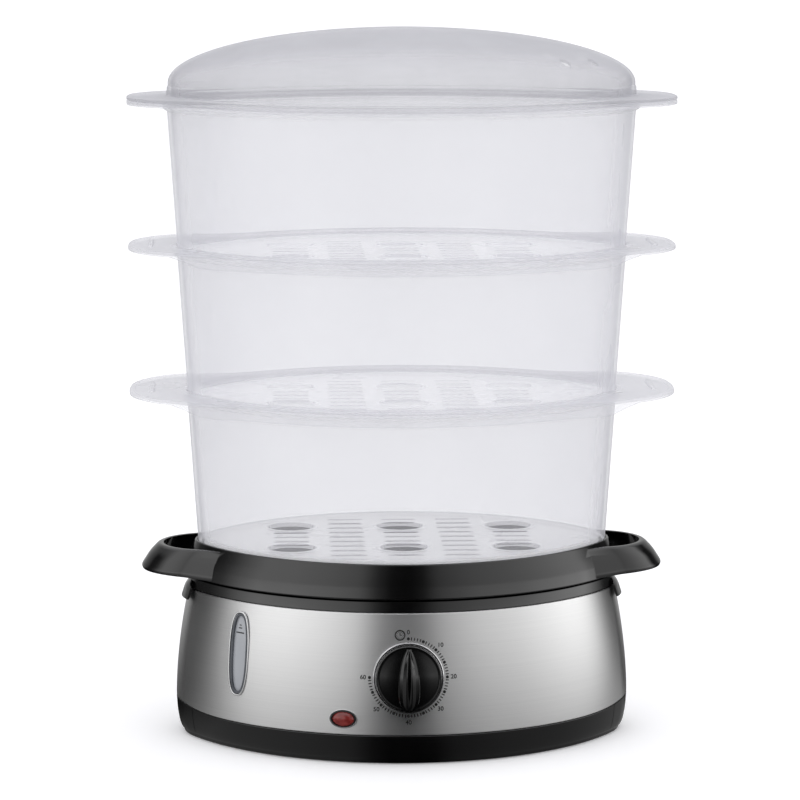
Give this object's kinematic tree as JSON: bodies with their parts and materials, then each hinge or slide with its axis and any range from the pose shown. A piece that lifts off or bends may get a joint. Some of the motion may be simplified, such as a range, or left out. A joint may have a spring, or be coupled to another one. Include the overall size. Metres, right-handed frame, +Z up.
{
  "type": "egg cooker",
  "caption": "Electric tiered egg and food steamer: stacking clear oval trays with carrying lobes and a vented dome lid, on a steel-banded base with timer knob, water gauge and drip tray.",
  "frame": {"origin": "on the table, at the middle of the object's bounding box", "axes": "+Z up, front with the timer knob towards -Y, long way of the oval along X"},
  "size_m": [0.303, 0.2047, 0.3944],
  "materials": {
    "black_gloss_plastic": "smooth moulded gloss",
    "black_matte_plastic": "fine moulded texture",
    "steel": "horizontal brushing",
    "chrome_trim": "polished",
    "gauge_clear": "smoky clear",
    "rubber": "moulded",
    "zinc": "zinc plated",
    "screw_steel": "zinc plated",
    "aluminium_cast": "cast and turned",
    "brass": "plain",
    "red_lens": "translucent red",
    "lamp_glass": "clear",
    "white_plastic": "moulded",
    "wire_jacket": "soft jacket",
    "clear_plastic": "milky clear"
  },
  "bodies": {
    "base": {"base_cover": "black_gloss_plastic", "base_screw_front_left": "screw_steel", "base_screw_front_right": "screw_steel", "base_screw_rear_left": "screw_steel", "base_screw_rear_right": "screw_steel", "body_shell": "black_gloss_plastic", "cord_gland": "black_matte_plastic", "foot_front_left": "rubber", "foot_front_right": "rubber", "foot_rear_left": "rubber", "foot_rear_right": "rubber", "gauge_lens": "gauge_clear", "gauge_seal": "rubber", "heater_clamp": "zinc", "heater_gasket": "rubber", "heater_plate": "aluminium_cast", "heater_screw_1": "screw_steel", "heater_screw_2": "screw_steel", "heater_screw_3": "screw_steel", "heater_terminal_1": "brass", "heater_terminal_2": "brass", "indicator_lens": "red_lens", "knob_bezel": "chrome_trim", "lamp_holder": "white_plastic", "neon_lamp": "lamp_glass", "steel_band": "steel", "terminal_block": "white_plastic", "thermal_fuse": "zinc", "thermostat": "aluminium_cast", "timer_bell": "brass", "timer_case": "zinc", "timer_screw_left": "screw_steel", "timer_screw_right": "screw_steel", "turbo_ring": "white_plastic", "water_tank": "black_matte_plastic", "wire_block_to_heater": "wire_jacket", "wire_block_to_timer": "wire_jacket", "wire_lamp": "wire_jacket", "wire_timer_to_heater": "wire_jacket"},
    "knob": {"knob": "black_gloss_plastic", "timer_shaft": "zinc"},
    "drip_tray": {"drip_tray": "black_gloss_plastic"},
    "tray_lower": {"tray_lower": "clear_plastic"},
    "tray_middle": {"tray_middle": "clear_plastic"},
    "tray_upper": {"tray_upper": "clear_plastic"},
    "lid": {"lid": "clear_plastic"}
  },
  "joints": [
    {"name": "timer_turn", "type": "hinge", "parent": "base", "child": "knob", "pos_m": [0, -0.0888, 0.0485], "axis": [0, 0.9972, -0.0752], "range_deg": [0, 270]},
    {"name": "drip_tray_lift", "type": "slide", "parent": "base", "child": "drip_tray", "axis": [0, 0, 1], "range_m": [0, 0.06]},
    {"name": "tray_lower_lift", "type": "slide", "parent": "drip_tray", "child": "tray_lower", "axis": [0, 0, 1], "range_m": [0, 0.06]},
    {"name": "tray_middle_lift", "type": "slide", "parent": "tray_lower", "child": "tray_middle", "axis": [0, 0, 1], "range_m": [0, 0.1]},
    {"name": "tray_upper_lift", "type": "slide", "parent": "tray_middle", "child": "tray_upper", "axis": [0, 0, 1], "range_m": [0, 0.1]},
    {"name": "lid_lift", "type": "slide", "parent": "tray_upper", "child": "lid", "axis": [0, 0, 1], "range_m": [0, 0.1]}
  ]
}
